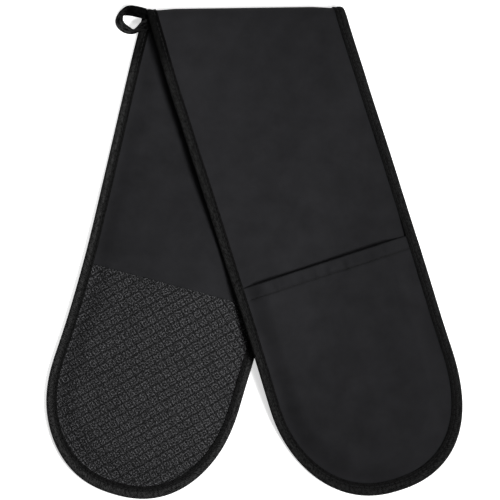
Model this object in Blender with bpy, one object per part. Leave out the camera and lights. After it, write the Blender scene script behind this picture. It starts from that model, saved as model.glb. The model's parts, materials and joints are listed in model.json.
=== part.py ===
"""A double oven glove: one padded strip with a hand pocket and a grip panel at each end, folded over once.

The strip lies as it was laid out for its picture, with +Y up the picture, +X to its right and +Z up
from the table. The back mitt lies under with its grip panel up. The front mitt comes over the fold
and lies on it with its pocket up. A place on a mitt is (along, across): along runs from the fold to
the tip, and across runs to the right from the mitt's middle line.
"""

import math

import bmesh
import bpy
import numpy as np
from mathutils import Matrix, Vector

MM = 0.001

# Strip: its width, the length of each mitt from the fold's axis to the tip, and its rounded ends
strip_width = 172 * MM
front_length = 446 * MM
back_length = 443 * MM
end_length = 108 * MM
end_roundness = 2.27
pocket_depth = 216.5 * MM
grip_length = 196 * MM

# Cloth: every sheet of fabric, the loose fit between pieces, and the wadding in the middle and at the edge
fabric = 0.6 * MM
gap = 0.3 * MM
wadding_middle = 5.2 * MM
wadding_edge = 0.9 * MM
pocket_wadding_middle = 2.2 * MM
pocket_wadding_edge = 0.5 * MM
crown_run = 18 * MM
back_hand_room = 6.0 * MM
front_hand_room = 7.5 * MM
hand_room_run = 60 * MM

# Binding: its width on each face, its tape, and how far its edge is rounded
binding_width = 10 * MM
binding_tape = 0.7 * MM
binding_round = 1.2 * MM
binding_drop = 0.5 * MM

# Thread: how wide and thick the seam lines stand, and how far they lie from the edges
thread_width = 0.8 * MM
thread_height = 0.4 * MM
thread_rise = 0.7 * MM
thread_inset = 2 * MM
hem_width = 11.5 * MM

# Fold: the empty radius inside it, its slope in the picture, and how the strip crosses it
fold_inner = 1.5 * MM
fold_slope = math.radians(0.8)
fold_skew = math.radians(15.25)
fold_x = -5.3 * MM
fold_y = 207.9 * MM

# Drape: the front mitt bridges the back one, and comes down to the table beyond its right edge
bridge_rise = 5.0 * MM
bridge_run = 200 * MM
level_run = 80 * MM
fall_start = 5 * MM
fall_run = 60 * MM
climb_run = 95 * MM
mouth_run = 24 * MM

# Headings: how each mitt turns away from its start, and over what stretch, in steps along its middle line
line_step = 1 * MM
turn_start = 25 * MM
front_turn = math.radians(1.95)
front_turn_run = 90 * MM
back_turn_out = math.radians(1.35)
back_turn_out_run = 60 * MM
back_turn_in = math.radians(-3.1)
back_turn_in_start = 190 * MM
back_turn_in_run = 100 * MM

# Hanging loop: its tape, and where it springs from the left end of the fold
loop_tape_width = 9.4 * MM
loop_tape_thickness = 1.0 * MM
loop_reach = 23.6 * MM
loop_drop = 9.7 * MM
loop_height = 5.2 * MM
loop_clearance = 2.2 * MM

# Places along the loop: towards its tip in reaches, down the picture in drops and up in heights.
# The last share of each is the tape's turn about its own length, in degrees.
loop_shares = (
    (0.00, -0.36, 1.78, 0),
    (0.23, -0.68, 1.72, 0),
    (0.53, -0.89, 1.52, 6),
    (0.78, -0.82, 1.22, 26),
    (0.96, -0.45, 1.02, 62),
    (1.00, 0.02, 1.00, 80),
    (0.90, 0.49, 0.96, 66),
    (0.69, 0.84, 0.92, 52),
    (0.46, 1.00, 1.00, 62),
    (0.33, 0.98, 1.42, 70),
    (0.21, 0.86, 1.95, 50),
    (0.08, 0.66, 1.98, 32),
    (0.00, 0.50, 1.90, 20),
)
loop_steps = 3

# Rows along each mitt and over the fold
rows_to_pocket = 6
rows_to_grip = 1
rows_to_end = 3
rows_round_end = 6
rows_over_fold = 6

# Sizes that follow from those above
half_width = strip_width / 2
stack_edge = 2 * fabric + 2 * gap + wadding_edge
stack_middle = 2 * fabric + 2 * gap + wadding_middle
pocket_edge = 2 * fabric + 2 * gap + pocket_wadding_edge
pocket_middle = 2 * fabric + 2 * gap + pocket_wadding_middle
lip = binding_tape + gap
fold_radius = fold_inner + stack_middle
fold_shift = math.pi * fold_radius * math.tan(fold_skew)
step_columns = (lip, binding_width, binding_width + crown_run / 2, binding_width + crown_run)
inner_columns = ((binding_width + crown_run + half_width) / 2, half_width)
columns = step_columns + inner_columns

along_fold = Vector((math.cos(fold_slope), math.sin(fold_slope)))
down_fold = Vector((math.sin(fold_slope), -math.cos(fold_slope)))
fold_centre = Vector((fold_x, fold_y))


def ease(value):
    """A share from 0 to 1 that starts and ends level."""
    share = min(max(value, 0.0), 1.0)
    return share * share * (3 - 2 * share)


def mix(low, high, share):
    return low + (high - low) * share


class Mitt:
    """One end of the strip, from the fold's axis to its tip."""

    def __init__(self, name, length, lean, side, heading_at):
        self.name = name
        self.length = length
        self.pocket_start = length - pocket_depth
        self.grip_start = length - grip_length
        self.end_start = length - end_length
        self.skew = math.tan(lean)
        places = np.arange(-strip_width, length + line_step, line_step)
        turns = np.array([fold_slope + lean + heading_at(place) for place in places])
        line = np.cumsum(np.column_stack((np.sin(turns), -np.cos(turns))) * line_step, axis=0)
        self.places, self.turns = places, turns
        start = fold_centre + along_fold * side * fold_shift / 2
        here = np.array([np.interp(0.0, places, line[:, axis]) for axis in (0, 1)])
        self.line = line - here + np.array(start)

    def plan(self, along, across):
        """The place in the picture's plane."""
        x, y = (np.interp(along, self.places, self.line[:, axis]) for axis in (0, 1))
        turn = np.interp(along, self.places, self.turns)
        return Vector((x + across * math.cos(turn), y + across * math.sin(turn)))

    def inset(self, along, across):
        """How far a place lies inside the outline. It is less than zero outside."""
        past = max(along - self.end_start, 0.0) / end_length
        wide = abs(across) / half_width
        return half_width * (1 - (past**end_roundness + wide**end_roundness) ** (1 / end_roundness))

    def where(self, point):
        """(along, across) of a point of the picture's plane, by stepping towards it."""
        along = (point - fold_centre).dot(down_fold)
        across = 0.0
        for _ in range(4):
            turn = np.interp(along, self.places, self.turns)
            away = point - self.plan(along, 0.0)
            along += away.dot(Vector((math.sin(turn), -math.cos(turn))))
            across = away.dot(Vector((math.cos(turn), math.sin(turn))))
        return along, across


def crown(inset):
    """0 under the binding, 1 where the wadding has its full thickness."""
    return ease((inset - binding_width) / crown_run)


def hand_space(inset, room):
    """The hollow of a pocket that has this much room in its middle."""
    return gap + room * ease((inset - binding_width) / hand_room_run)


def back_levels(along, across):
    """(pocket bottom, pocket top, strip bottom, strip top) of the back mitt."""
    inset = back.inset(along, across)
    full = crown(inset)
    low = mix(lip, 0.0, full)
    pocket_top = low + mix(pocket_edge, pocket_middle, full)
    climb = ease((along - back.pocket_start + climb_run) / climb_run)
    strip_low = mix(low, pocket_top + hand_space(inset, back_hand_room), climb)
    return low, pocket_top, strip_low, strip_low + mix(stack_edge, stack_middle, full)


def front_levels(along, across):
    """(strip bottom, strip top, pocket bottom, pocket top) of the front mitt."""
    inset = front.inset(along, across)
    full = crown(inset)
    point = front.plan(along, across)
    from_fold = (point - fold_centre).dot(down_fold)
    level = fold_radius + fold_inner + bridge_rise * ease(from_fold / bridge_run)
    back_along, back_across = back.where(point)
    outside = -back.inset(back_along, back_across) if back_across > 0 else -half_width
    fall = ease((outside + fall_start) / fall_run) * ease(from_fold / level_run)
    edge_lift = (stack_middle - stack_edge - 2 * lip) * (1 - ease(from_fold / level_run))
    low = level * (1 - fall) + (lip + edge_lift) * (1 - full)
    top = low + mix(stack_edge, stack_middle, full)
    pocket_low = top + hand_space(inset, front_hand_room)
    return low, top, pocket_low, pocket_low + mix(pocket_edge, pocket_middle, full)


def front_heading(along):
    return front_turn * ease((along - turn_start) / front_turn_run)


def back_heading(along):
    out = back_turn_out * ease((along - turn_start) / back_turn_out_run)
    return out + back_turn_in * ease((along - back_turn_in_start) / back_turn_in_run)


def tip_row(mitt):
    """The last row of a mitt, where both sides meet at its tip."""
    return mitt.end_start, math.pi / 2


def row_places(mitt, first, last):
    """The rows of a panel: along the straight part as places, round the end as angles."""
    straight = [mitt.pocket_start * i / rows_to_pocket for i in range(rows_to_pocket)]
    stops = (mitt.pocket_start, mitt.grip_start, mitt.end_start)
    for start, end, rows in zip(stops, stops[1:], (rows_to_grip, rows_to_end)):
        straight += [mix(start, end, i / rows) for i in range(rows)]
    rows = [(place, 0.0) for place in straight if first <= place < last]
    if last > mitt.end_start:
        place, quarter = tip_row(mitt)
        rows += [(place, quarter * i / rows_round_end) for i in range(rows_round_end)]
        rows.append((place, quarter))
    else:
        rows.append((last, 0.0))
    return rows


def on_row(mitt, row, side, inset):
    """(along, across) at an inset from the outline, on one row and one side of the middle."""
    place, angle = row
    share = 1 - inset / half_width
    across = side * share * half_width * max(math.cos(angle), 0.0) ** (2 / end_roundness)
    if row == tip_row(mitt):
        across = 0.0
    along = place + share * end_length * math.sin(angle) ** (2 / end_roundness)
    skew = mitt.skew * across * max(0.0, 1 - place / mitt.pocket_start)
    return along + skew, across


def slab(name, wide, rows, flat, solid, turned=0):
    """A sheet of quads, laid flat by one function, thickened, and brought to its place by another.

    flat gives (x, y) for a column and a row. solid gives the place for that (x, y) and level 0 or 1.
    The quads of the first columns, as many as turned says, are split along their other diagonal.
    """
    mesh = bmesh.new()
    bmesh.ops.create_grid(mesh, x_segments=wide, y_segments=rows, size=0.5)
    edge = turned / wide - 0.5
    other = [face for face in mesh.faces if face.calc_center_median().x < edge]
    bmesh.ops.triangulate(mesh, faces=other, quad_method="ALTERNATE")
    for vertex in mesh.verts:
        column = round((vertex.co.x + 0.5) * wide)
        row = round((vertex.co.y + 0.5) * rows)
        vertex.co = Vector((*flat(column, row), 0.0))
    bmesh.ops.remove_doubles(mesh, verts=mesh.verts, dist=gap / 10)
    bmesh.ops.triangulate(mesh, faces=mesh.faces, quad_method="FIXED")
    grown = bmesh.ops.extrude_face_region(mesh, geom=mesh.faces)
    for item in grown["geom"]:
        if isinstance(item, bmesh.types.BMVert):
            item.co.z = 1.0
    for vertex in mesh.verts:
        vertex.co = solid(vertex.co.x, vertex.co.y, vertex.co.z > 0.5)
    bmesh.ops.recalc_face_normals(mesh, faces=mesh.faces)
    if mesh.calc_volume(signed=True) < 0:
        bmesh.ops.reverse_faces(mesh, faces=mesh.faces)
    data = bpy.data.meshes.new(name)
    mesh.to_mesh(data)
    mesh.free()
    piece = bpy.data.objects.new(name, data)
    collection.objects.link(piece)
    return piece


def column_place(column):
    """(side, inset) of a panel's column, counted from the left edge."""
    last = len(columns) - 1
    side = -1 if column <= last else 1
    return side, columns[column if column <= last else 2 * last - column]


def panel(name, mitt, levels, first, last, low_of, high_of):
    """One layer of a mitt, between two heights that are worked out from its levels."""
    rows = row_places(mitt, first, last)

    def flat(column, row):
        side, inset = column_place(column)
        return on_row(mitt, rows[row], side, inset)

    def solid(along, across, upper):
        height = (high_of if upper else low_of)(levels(along, across))
        return Vector((*mitt.plan(along, across), height))

    return slab(name, 2 * len(columns) - 2, len(rows) - 1, flat, solid)


def strip_layers(mitt, levels, low, high, faces_up):
    """The strip's own layers on one mitt: plain grip-side fabric, grip panel, wadding and pocket-side fabric."""
    under = (lambda at: at[low], lambda at: at[low] + fabric)
    over = (lambda at: at[high] - fabric, lambda at: at[high])
    grip, pocket_side = (over, under) if faces_up else (under, over)
    end = mitt.length
    panel(mitt.name + "_pocket_side_fabric", mitt, levels, 0.0, end, *pocket_side)
    inside = (lambda at: at[low] + fabric + gap, lambda at: at[high] - fabric - gap)
    panel(mitt.name + "_wadding", mitt, levels, 0.0, end, *inside)
    panel(mitt.name + "_grip_side_fabric", mitt, levels, 0.0, mitt.grip_start - gap, *grip)
    panel(mitt.name + "_grip_panel", mitt, levels, mitt.grip_start, end, *grip)


def pocket_layers(mitt, levels, low, high, faces_up):
    """The pocket's lining, wadding and outer fabric."""
    under = (lambda at: at[low], lambda at: at[low] + fabric)
    over = (lambda at: at[high] - fabric, lambda at: at[high])
    lining, outer = (over, under) if faces_up else (under, over)
    start, end = mitt.pocket_start, mitt.length
    panel(mitt.name + "_pocket_lining", mitt, levels, start, end, *lining)
    inside = (lambda at: at[low] + fabric + gap, lambda at: at[high] - fabric - gap)
    panel(mitt.name + "_pocket_wadding", mitt, levels, start, end, *inside)
    panel(mitt.name + "_pocket_fabric", mitt, levels, start, end, *outer)


# The binding's section: its inner and outer face as (inset, which height, how far past it)
inner_section = (
    (binding_width, 0, 0.0),
    (lip, 0, 0.0),
    (binding_tape, 0, gap),
    (binding_tape, 1, -gap),
    (lip, 1, 0.0),
    (binding_width, 1, 0.0),
)
outer_section = (
    (binding_width, 0, -binding_tape),
    (binding_round, 0, -binding_tape),
    (0.0, 0, binding_drop),
    (0.0, 1, -binding_drop),
    (binding_round, 1, binding_tape),
    (binding_width, 1, binding_tape),
)


def bound_heights(mitt, along, across):
    """The heights between which the binding's tape is folded."""
    if mitt is front:
        low, strip_top, _, pocket_top = front_levels(along, across)
        thick = ease((along - front.pocket_start + mouth_run) / mouth_run)
        return low - gap, mix(strip_top, pocket_top, thick) + gap
    low, _, _, top = back_levels(along, across)
    return low - gap, top + gap


def binding(mitt):
    """The tape folded over the edge of one mitt, from the fold round the tip and back."""
    rows = row_places(mitt, 0.0, mitt.length)
    last = len(rows) - 1

    def flat(column, row):
        return column, row

    def solid(column, row, outer):
        column, row = round(column), round(row)
        side = -1 if row <= last else 1
        inset, which, past = (outer_section if outer else inner_section)[column]
        along, across = on_row(mitt, rows[row if row <= last else 2 * last - row], side, inset)
        height = bound_heights(mitt, along, across)[which] + past
        return Vector((*mitt.plan(along, across), height))

    return slab(mitt.name + "_binding", len(inner_section) - 1, 2 * last, flat, solid, turned=1)


def binding_thread(mitt):
    """The seam line near the binding's inner edge, on the upper face."""
    rows = row_places(mitt, 0.0, mitt.length)
    last = len(rows) - 1

    def flat(column, row):
        return column, row

    def solid(column, row, upper):
        row = round(row)
        side = -1 if row <= last else 1
        inset = binding_width - thread_inset - thread_width * column
        along, across = on_row(mitt, rows[row if row <= last else 2 * last - row], side, inset)
        height = bound_heights(mitt, along, across)[1] + binding_tape + thread_rise
        return Vector((*mitt.plan(along, across), height + thread_height * upper))

    return slab(mitt.name + "_binding_thread", 1, 2 * last, flat, solid)


def hem_thread(mitt, inner, height_at):
    """The seam line along the hem of the pocket's mouth, between the insets of its columns."""
    last = len(inner) - 1

    def flat(column, row):
        side = -1 if column <= last else 1
        inset = inner[column if column <= last else 2 * last - column]
        return side * (half_width - inset), mitt.pocket_start + hem_width + thread_width * row

    def solid(across, along, upper):
        height = height_at(along, across) + thread_height * upper
        return Vector((*mitt.plan(along, across), height))

    return slab(mitt.name + "_hem_thread", 2 * last, 1, flat, solid)


def over_fold(across, turn, height):
    """A place on the fold: turn runs from 0 at the back mitt to 1 at the front mitt."""
    angle = math.pi * (turn - 0.5)
    radius = fold_radius - height
    along = fold_shift * (turn - 0.5) + across / math.cos(fold_skew)
    point = fold_centre + along_fold * along - down_fold * (radius * math.cos(angle) + gap)
    return Vector((*point, fold_radius + radius * math.sin(angle)))


def fold_panel(name, low_of, high_of):
    """One layer of the strip where it turns over the fold. Its heights are the back mitt's there."""

    def flat(column, row):
        side, inset = column_place(column)
        return side * (half_width - inset), row

    def solid(across, row, upper):
        height = (high_of if upper else low_of)(back_levels(0.0, across))
        return over_fold(across, row / rows_over_fold, height)

    return slab(name, 2 * len(columns) - 2, rows_over_fold, flat, solid)


def fold_binding(name, side):
    """The binding at one end of the fold."""

    def flat(column, row):
        return column, row

    def solid(column, row, outer):
        inset, which, past = (outer_section if outer else inner_section)[round(column)]
        across = side * (half_width - inset)
        height = bound_heights(back, 0.0, across)[which] + past
        return over_fold(across, row / rows_over_fold, height)

    return slab(name, len(inner_section) - 1, rows_over_fold, flat, solid)


def loop_root():
    """The point on the table under the loop's root, at the left end of the fold."""
    left_end = over_fold(-half_width, 0.5, fold_radius)
    return Vector((left_end.x - loop_clearance, left_end.y + gap, 0.0))


def smooth_between(points, share):
    """A place on the smooth curve through the points."""
    spot = share * (len(points) - 1)
    first = min(int(spot), len(points) - 2)
    part = spot - first
    before, start = points[max(first - 1, 0)], points[first]
    end, after = points[first + 1], points[min(first + 2, len(points) - 1)]
    bend = 2 * before - 5 * start + 4 * end - after
    turn = 3 * start - before - 3 * end + after
    return start + 0.5 * part * (end - before + part * (bend + part * turn))


def hanging_loop():
    """A flat tape that goes out from the fold's left end, turns on its edge and comes back."""
    root = loop_root()
    sizes = np.array((loop_reach, loop_drop, loop_height, math.radians(1)))
    points = [np.array(share) * sizes for share in loop_shares]
    steps = loop_steps * (len(points) - 1)
    spots = [smooth_between(points, i / steps) for i in range(steps + 1)]
    line = [root + Vector((-spot[0], -spot[1], spot[2])) for spot in spots]

    def flat(column, row):
        return column, row

    def solid(column, row, upper):
        row = round(row)
        ahead = line[min(row + 1, steps)] - line[max(row - 1, 0)]
        ahead.normalize()
        level = Vector((-ahead.y, ahead.x, 0.0)).normalized()
        width = Matrix.Rotation(spots[row][3], 3, ahead) @ level
        face = ahead.cross(width)
        half = loop_tape_thickness / 2
        return line[row] + width * loop_tape_width * (column - 0.5) + face * half * (1 if upper else -1)

    return slab("hanging_loop", 1, steps, flat, solid)


finishes = {
    "fabric": ((0.022, 0.022, 0.024), 0.85, 0.0),
    "binding": ((0.012, 0.012, 0.013), 0.9, 0.0),
    "grip_panel": ((0.035, 0.035, 0.036), 0.6, 0.0),
    "wadding": ((0.62, 0.6, 0.56), 0.95, 0.0),
    "thread": ((0.008, 0.008, 0.008), 0.7, 0.0),
}


def finish_of(name):
    """The finish that a piece's name asks for."""
    found = [finish for finish in finishes if finish in name]
    return found[-1] if found else "fabric" if "lining" in name else "binding"


def give_material(piece):
    colour, roughness, metallic = finishes[finish_of(piece.name)]
    material = bpy.data.materials.new(piece.name)
    material.use_nodes = True
    shader = material.node_tree.nodes["Principled BSDF"]
    shader.inputs["Base Color"].default_value = (*colour, 1.0)
    shader.inputs["Roughness"].default_value = roughness
    shader.inputs["Metallic"].default_value = metallic
    piece.data.materials.append(material)


def set_down(pieces):
    """Brings the middle of the whole object's footprint to the origin. Returns how far it moved."""
    corners = np.array([vertex.co for piece in pieces for vertex in piece.data.vertices])
    low, high = corners.min(axis=0), corners.max(axis=0)
    move = Vector((-(low[0] + high[0]) / 2, -(low[1] + high[1]) / 2, 0.0))
    for piece in pieces:
        piece.data.transform(Matrix.Translation(move))
    return move


def hang_on(name, place, pieces):
    """Puts the pieces on an empty on their joint's axis."""
    empty = bpy.data.objects.new(name, None)
    empty.location = place
    collection.objects.link(empty)
    for piece in pieces:
        piece.data.transform(Matrix.Translation(-place))
        piece.parent = empty
    print(name, "at", [round(value, 6) for value in place])


for old in list(bpy.data.objects):
    bpy.data.objects.remove(old)

collection = bpy.data.collections.new("double_oven_glove")
bpy.context.scene.collection.children.link(collection)

back = Mitt("back", back_length, -fold_skew, -1, back_heading)
front = Mitt("front", front_length, fold_skew, 1, front_heading)

strip_layers(back, back_levels, 2, 3, True)
pocket_layers(back, back_levels, 0, 1, True)
strip_layers(front, front_levels, 0, 1, False)
pocket_layers(front, front_levels, 2, 3, False)
for mitt in (back, front):
    binding(mitt)
    binding_thread(mitt)
hem_thread(front, columns[2:], lambda along, across: front_levels(along, across)[3] + thread_rise)
hem_thread(back, columns[3:], lambda along, across: back_levels(along, across)[1] + gap)

fold_panel("fold_pocket_side_fabric", lambda at: at[2], lambda at: at[2] + fabric)
fold_panel("fold_wadding", lambda at: at[2] + fabric + gap, lambda at: at[3] - fabric - gap)
fold_panel("fold_grip_side_fabric", lambda at: at[3] - fabric, lambda at: at[3])
fold_binding("fold_left_binding", -1)
fold_binding("fold_right_binding", 1)
loop = hanging_loop()

pieces = list(collection.objects)
for piece in pieces:
    give_material(piece)
moved = set_down(pieces)

front_pieces = [piece for piece in pieces if piece.name.startswith("front_")]
hang_on("fold_axis", Vector((*fold_centre, fold_radius)) + moved, front_pieces)
loop_line = loop_root() + moved
hang_on("loop_axis", loop_line + Vector((0.0, 0.0, loop_shares[0][2] * loop_height)), [loop])
print("moved by", [round(value, 6) for value in moved])
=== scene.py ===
# %% [markdown]
# # A double oven glove, folded over once
#
# The object is one long padded strip with a hand pocket and a grip panel at each end. It is folded over
# once, so that the back mitt shows its grip panel, and the front mitt, on top, shows its pocket. The CAD
# solids are loaded first, as a fixed frame, because they say where each piece lies. What is made after
# that is cloth, padding or tape. The pieces of each mitt hang on an empty for the body of the solids
# that they stand for; the fold's pieces and the loop stay where they are made.

import json
import math

import bmesh
import bpy
import numpy as np
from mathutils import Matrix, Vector, noise


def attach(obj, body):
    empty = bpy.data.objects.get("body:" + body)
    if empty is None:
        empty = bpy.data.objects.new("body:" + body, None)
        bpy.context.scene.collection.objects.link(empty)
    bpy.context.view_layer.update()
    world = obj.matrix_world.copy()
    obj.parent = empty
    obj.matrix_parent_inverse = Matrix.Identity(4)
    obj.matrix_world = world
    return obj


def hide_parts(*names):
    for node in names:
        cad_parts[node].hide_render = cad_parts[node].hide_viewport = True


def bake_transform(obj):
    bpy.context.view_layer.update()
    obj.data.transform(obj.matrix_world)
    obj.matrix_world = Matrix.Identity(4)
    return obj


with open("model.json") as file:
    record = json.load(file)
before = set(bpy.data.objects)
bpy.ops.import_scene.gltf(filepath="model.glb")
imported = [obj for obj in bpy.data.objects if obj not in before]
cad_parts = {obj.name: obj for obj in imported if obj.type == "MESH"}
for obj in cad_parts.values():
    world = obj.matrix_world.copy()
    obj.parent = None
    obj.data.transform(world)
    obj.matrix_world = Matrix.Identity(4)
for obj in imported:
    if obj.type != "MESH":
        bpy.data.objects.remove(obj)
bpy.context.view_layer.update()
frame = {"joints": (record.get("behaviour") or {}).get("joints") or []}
scene = bpy.context.scene
MM = 0.001


def in_mm(metres):
    """Rounded millimetres, for printing."""
    return np.round(1000 * np.array(metres), 1).tolist()


# %% [markdown]
# ## Camera
#
# The glove was photographed from straight above, with the top of the picture towards +Y. A camera close
# by would also show its sides, so a long lens looks down from far away. One pixel is 0.9 mm at the
# height where most of the cloth lies.

# %% Camera
pixel = 0.9 * MM
picture_side = 500 * pixel
picture_middle = (-5.163 * MM, 2.022 * MM)
camera_height, mapped_height, sensor_width = 6.0, 9 * MM, 36.0
camera_data = bpy.data.cameras.new("overhead_camera")
camera_data.sensor_width = sensor_width
camera_data.lens = sensor_width * (camera_height - mapped_height) / picture_side
camera_data.clip_end = 40.0
camera = bpy.data.objects.new("overhead_camera", camera_data)
camera.location = (*picture_middle, camera_height)
scene.collection.objects.link(camera)
bpy.context.scene.camera = camera
print("lens:", round(camera_data.lens, 1), "mm")

# %% [markdown]
# ## Light
#
# Near-black cloth needs soft light. A bright sky alone would leave its folds flat, and a small lamp would
# draw hard shadows, so a weak sky is joined by two broad spot lamps whose cones fade out. The main one
# stands to the right of the picture and aims at the back mitt: it lays a narrow shadow beside the front
# mitt's left edge. The weaker one, beyond the top of the picture, brings out the mouth of the pocket.

# %% Sky and lamps
white = (1.0, 1.0, 1.0, 1.0)
lamp_cone = math.radians(30.0)
scene.view_settings.view_transform = "Standard"
sky = bpy.data.worlds.new("studio")
scene.world = sky
sky.use_nodes = True
background = sky.node_tree.nodes["Background"]
background.inputs["Color"].default_value = white
background.inputs["Strength"].default_value = 0.09


def lamp(name, place, target, size, power):
    """A soft round lamp that faces a point."""
    data = bpy.data.lights.new(name, "SPOT")
    data.shadow_soft_size, data.energy = size / 2, power
    data.spot_size, data.spot_blend = lamp_cone, 1.0
    light = bpy.data.objects.new(name, data)
    light.location = place
    light.rotation_euler = (Vector(target) - Vector(place)).to_track_quat("-Z", "Y").to_euler()
    light.visible_camera = False
    scene.collection.objects.link(light)
    print(name, "of", power, "W,", size, "m across")


lamp("main_lamp", (1.4, -0.5, 2.7), (-0.26, 0.04, 0), 0.9, 485.0)
lamp("upper_lamp", (0.3, 1.4, 2.6), (-0.1, 0.02, 0), 0.8, 85.0)

# %% [markdown]
# ## Formulas in a node tree
#
# A material is a tree of nodes. Joined one by one, ten nodes are hard to read as a formula. So a small
# class stands for the value that comes out of a node: adding to it or scaling it places a Math node,
# and a line of code reads like the formula that it builds.

# %% Values and nodes
class Value:
    """What comes out of a node."""

    def __init__(self, tree, socket):
        self.tree, self.socket = tree, socket

    def math(self, operation, *others):
        inputs = dict(enumerate((self, *others)))
        return new_node(self.tree, "Math", inputs, operation=operation)[0]

    def __add__(self, other):
        return self.math("ADD", other)

    def __sub__(self, other):
        return self.math("SUBTRACT", other)

    def __mul__(self, other):
        return self.math("MULTIPLY", other)

    def __truediv__(self, other):
        return self.math("DIVIDE", other)


def feed(node, inputs):
    """Gives a node's inputs numbers, colours or the values of other nodes."""
    for label, value in inputs.items():
        if isinstance(value, Value):
            value.tree.links.new(value.socket, node.inputs[label])
        else:
            node.inputs[label].default_value = value


def new_node(tree, kind, inputs, **settings):
    """Places a node and returns the values that come out of it."""
    node = tree.nodes.new("ShaderNode" + kind)
    for setting, choice in settings.items():
        setattr(node, setting, choice)
    feed(node, inputs)
    return [Value(tree, socket) for socket in node.outputs]


# %% [markdown]
# ## Floor
#
# The floor is a plain white plane. To the camera and in reflections it also glows, so that the background
# comes out white without more light on the glove, and the glove's shadow still shows on it.

# %% White floor
floor_side = 60.0
floor_material = bpy.data.materials.new("white_floor")
floor_material.use_nodes = True
tree = floor_material.node_tree
ray = tree.nodes.new("ShaderNodeLightPath")
seen, mirrored = (Value(tree, ray.outputs[label]) for label in ("Is Camera Ray", "Is Glossy Ray"))
glow = seen.math("MAXIMUM", mirrored) * 0.6
floor_look = {"Base Color": (0.9, 0.9, 0.9, 1.0), "Roughness": 0.9, "Emission Color": white}
feed(tree.nodes["Principled BSDF"], {**floor_look, "Emission Strength": glow})
bpy.ops.mesh.primitive_plane_add(size=floor_side, location=(0, 0, 0))
floor = bpy.context.active_object
floor.name = "floor"
floor.data.materials.append(floor_material)
print("the floor is", floor_side, "m wide")

# %% [markdown]
# ## The cut of the strip
#
# Every piece is drawn in the strip's own measures: along, from the fold to the tip of a mitt, and
# across, to the right from its middle line. Flat cloth could be bent afterwards, but each mitt bends in
# its own way. So a mitt knows the line that its middle follows, turns a place on the strip into one on
# the table, and says how far it lies inside the outline. The sizes are those of the solids. Real cloth
# strays from a ruled line, hence a little sway and flare.

# %% Measures
strip_width, half_width = 172 * MM, 86 * MM
pocket_depth, grip_length = 216.5 * MM, 196 * MM
end_length, end_roundness = 108 * MM, 2.27
fabric, gap, lip = 0.6 * MM, 0.3 * MM, 1.0 * MM
edge_stack, middle_stack = 2.7 * MM, 7.0 * MM
edge_pocket, middle_pocket = 2.3 * MM, 4.0 * MM
tape_width, crown_run = 10 * MM, 18 * MM
fold_radius, fold_inner = 8.5 * MM, 1.5 * MM
fold_slope, fold_skew = math.radians(0.8), math.radians(15.25)
fold_shift = math.pi * fold_radius * math.tan(fold_skew)
fold_joint = next(joint for joint in frame["joints"] if joint["name"] == "fold")
fold_centre = np.array(fold_joint["pos_m"][:2])
along_fold = np.array((math.cos(fold_slope), math.sin(fold_slope)))
down_fold = np.array((math.sin(fold_slope), -math.cos(fold_slope)))
print("the fold's middle:", in_mm(fold_centre), "mm, the shift across it:", in_mm(fold_shift), "mm")


# %% Smooth runs
def ease(value):
    """A share from 0 to 1 that starts and ends level."""
    share = np.clip(value, 0.0, 1.0)
    return share * share * (3 - 2 * share)


def mix(low, high, share):
    return low + (high - low) * share


def through(place, knots):
    """A smooth run through knots of (place in mm, value)."""
    value = knots[0][1]
    for (start, low), (end, high) in zip(knots, knots[1:]):
        value = value + (high - low) * ease((place / MM - start) / (end - start))
    return value


print("a quarter of the way is eased to", ease(0.25))


# %% The plan of a mitt
class Mitt:
    """One end of the strip. Its heading (degrees), sway (mm) and flare (share) are knots."""

    def __init__(self, name, length, lean, side, heading, sway, flare):
        self.name, self.length, self.sway, self.flare = name, length, sway, flare
        self.pocket_start = length - pocket_depth
        self.grip_start = length - grip_length
        self.end_start = length - end_length
        self.skew = math.tan(lean)
        step = 1 * MM
        self.places = np.arange(-strip_width, length + step, step)
        self.turns = fold_slope + lean + np.radians(through(self.places, heading))
        line = np.cumsum(np.stack([np.sin(self.turns), -np.cos(self.turns)], 1) * step, axis=0)
        start = fold_centre + along_fold * side * fold_shift / 2
        self.line = line - np.array([np.interp(0.0, self.places, axis) for axis in line.T]) + start

    def plan(self, along, across):
        """(x, y) on the table."""
        across = through(along, self.sway) * MM + across * (1 + through(along, self.flare))
        x, y = (np.interp(along, self.places, axis) for axis in self.line.T)
        turn = np.interp(along, self.places, self.turns)
        return np.stack([x + across * np.cos(turn), y + across * np.sin(turn)], -1)

    def inset(self, along, across):
        """How far a place lies inside the outline."""
        past = np.maximum(along - self.end_start, 0.0) / end_length
        wide = np.abs(across) / half_width
        return half_width * (1 - (past**end_roundness + wide**end_roundness) ** (1 / end_roundness))

    def where(self, points):
        """(along, across) of points on the table, by stepping towards them."""
        along, across = (points - fold_centre) @ down_fold, np.zeros(points.shape[:-1])
        for _ in range(4):
            turn = np.interp(along, self.places, self.turns)
            away = points - self.plan(along, np.zeros_like(along))
            along = along + away[..., 0] * np.sin(turn) - away[..., 1] * np.cos(turn)
            across = away[..., 0] * np.cos(turn) + away[..., 1] * np.sin(turn)
        return along, across


# %% The two mitts
back = Mitt(
    "back", 443 * MM, -fold_skew, -1,
    heading=((25, 0.0), (85, 1.35), (190, 1.35), (290, -1.75)),
    sway=((280, 0.0), (385, -1.7), (443, -1.2)),
    flare=((300, 0.0), (370, 0.012), (443, -0.01)),
)
front = Mitt(
    "front", 446 * MM, fold_skew, 1,
    heading=((25, 0.0), (115, 1.95)),
    sway=((25, 0.0), (80, 1.0), (140, 1.0), (230, 0.3), (350, -1.2), (446, 1.8)),
    flare=((300, 0.0), (360, 0.006)),
)
for mitt in (back, front):
    print(mitt.name, "mitt's tip:", in_mm(mitt.plan(np.array(mitt.length), np.array(0.0))), "mm")

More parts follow.
